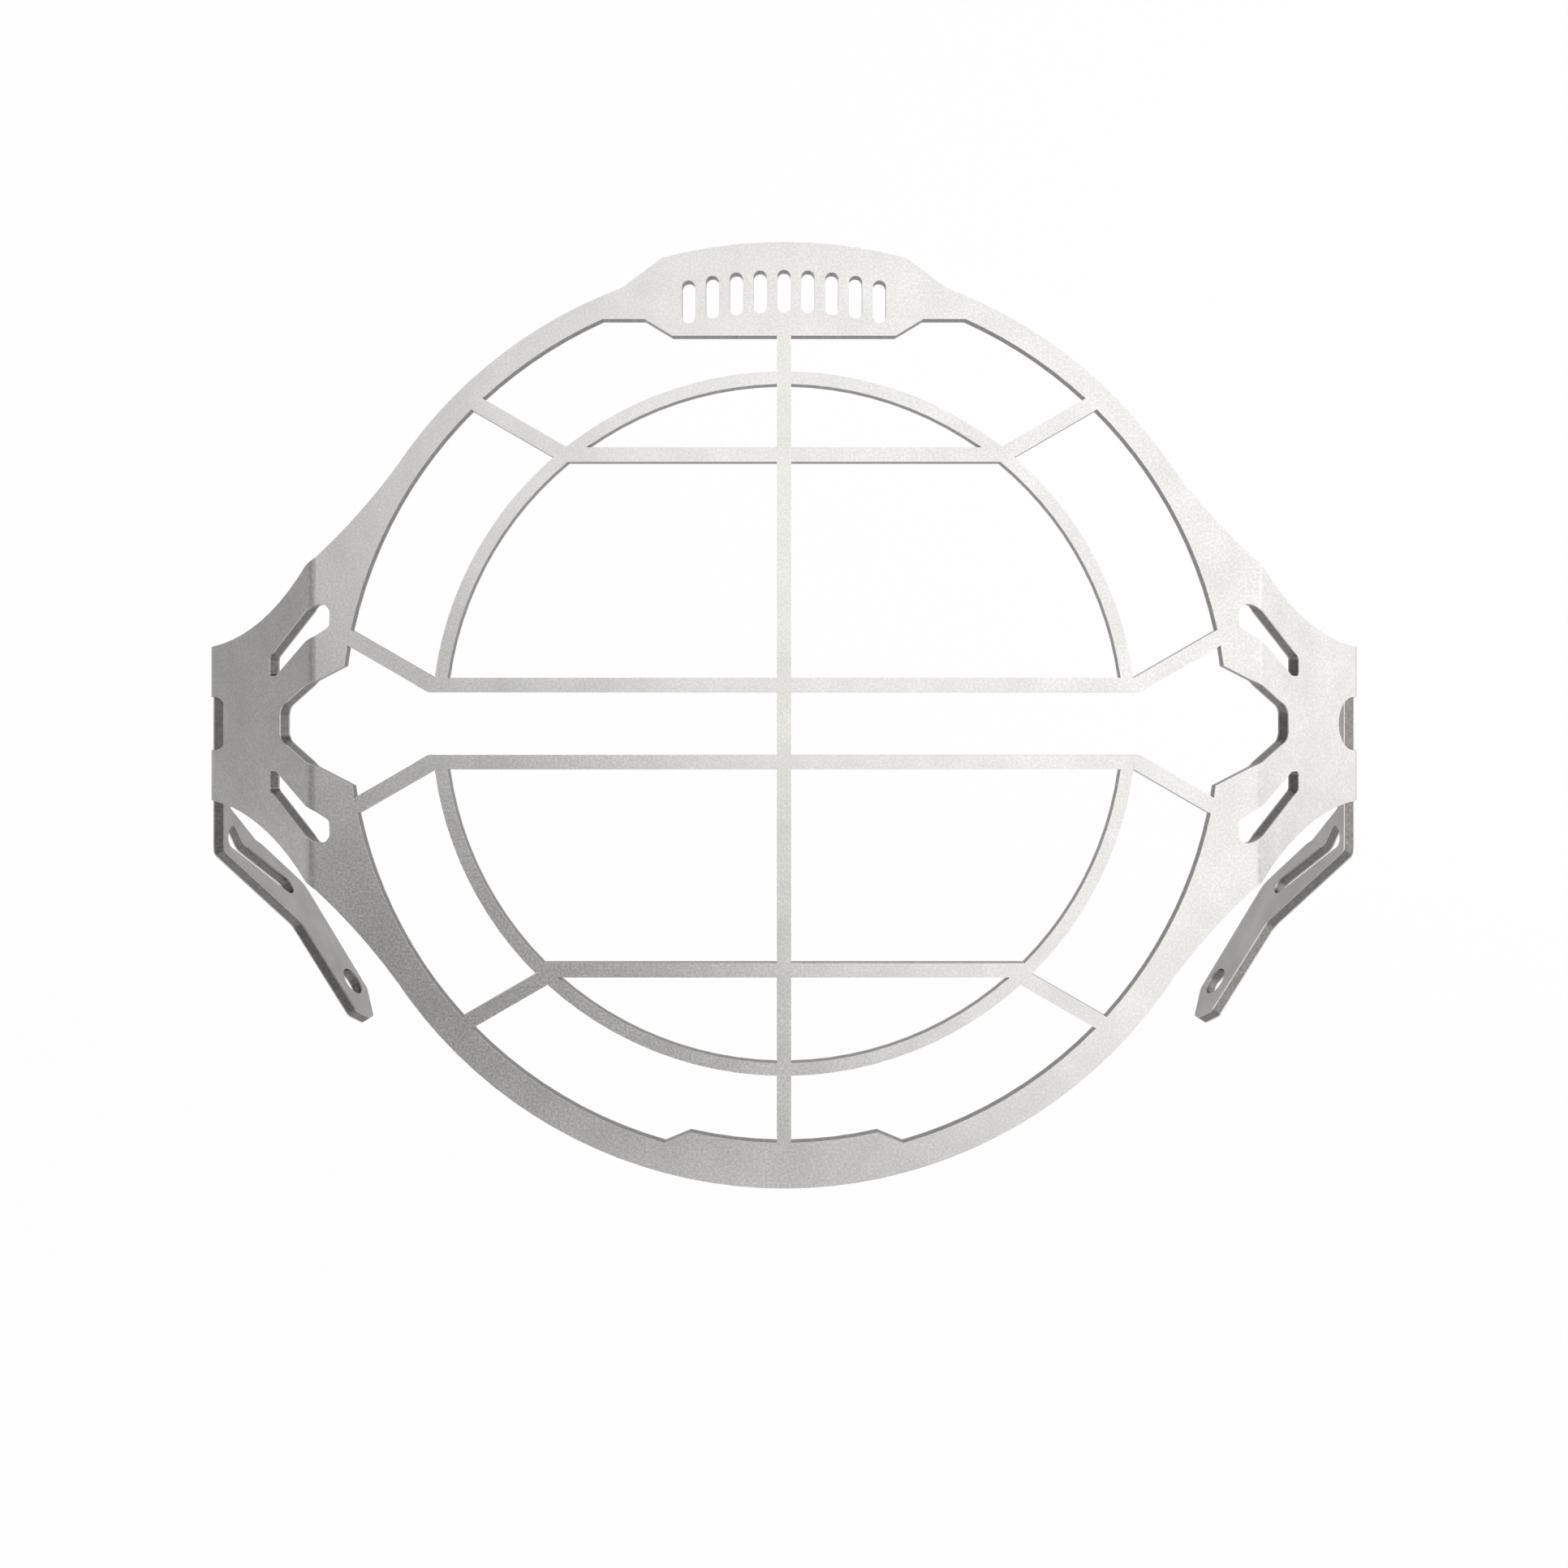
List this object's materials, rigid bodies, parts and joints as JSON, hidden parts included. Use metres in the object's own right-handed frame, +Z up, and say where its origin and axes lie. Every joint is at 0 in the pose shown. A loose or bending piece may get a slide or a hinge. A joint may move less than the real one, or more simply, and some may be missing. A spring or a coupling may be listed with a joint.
{
  "type": "motorcycle headlight guard",
  "caption": "folded sheet guard for a round motorcycle headlamp: banded disc with an inner ring and bars, leaning wings and two arms that bolt to the lamp's ears",
  "frame": {"origin": "middle of the ring on the rear face of the upright bar, which is the face towards the lamp", "axes": "+X to the right seen from in front, across the wings; +Y back towards the lamp; +Z up, as fitted"},
  "size_m": [0.262, 0.0527, 0.1983],
  "materials": {
    "sheet": "bead-blasted stainless steel sheet, satin grey with a fine even grain"
  },
  "bodies": {
    "root": {"guard_plate": "sheet"}
  },
  "joints": []
}
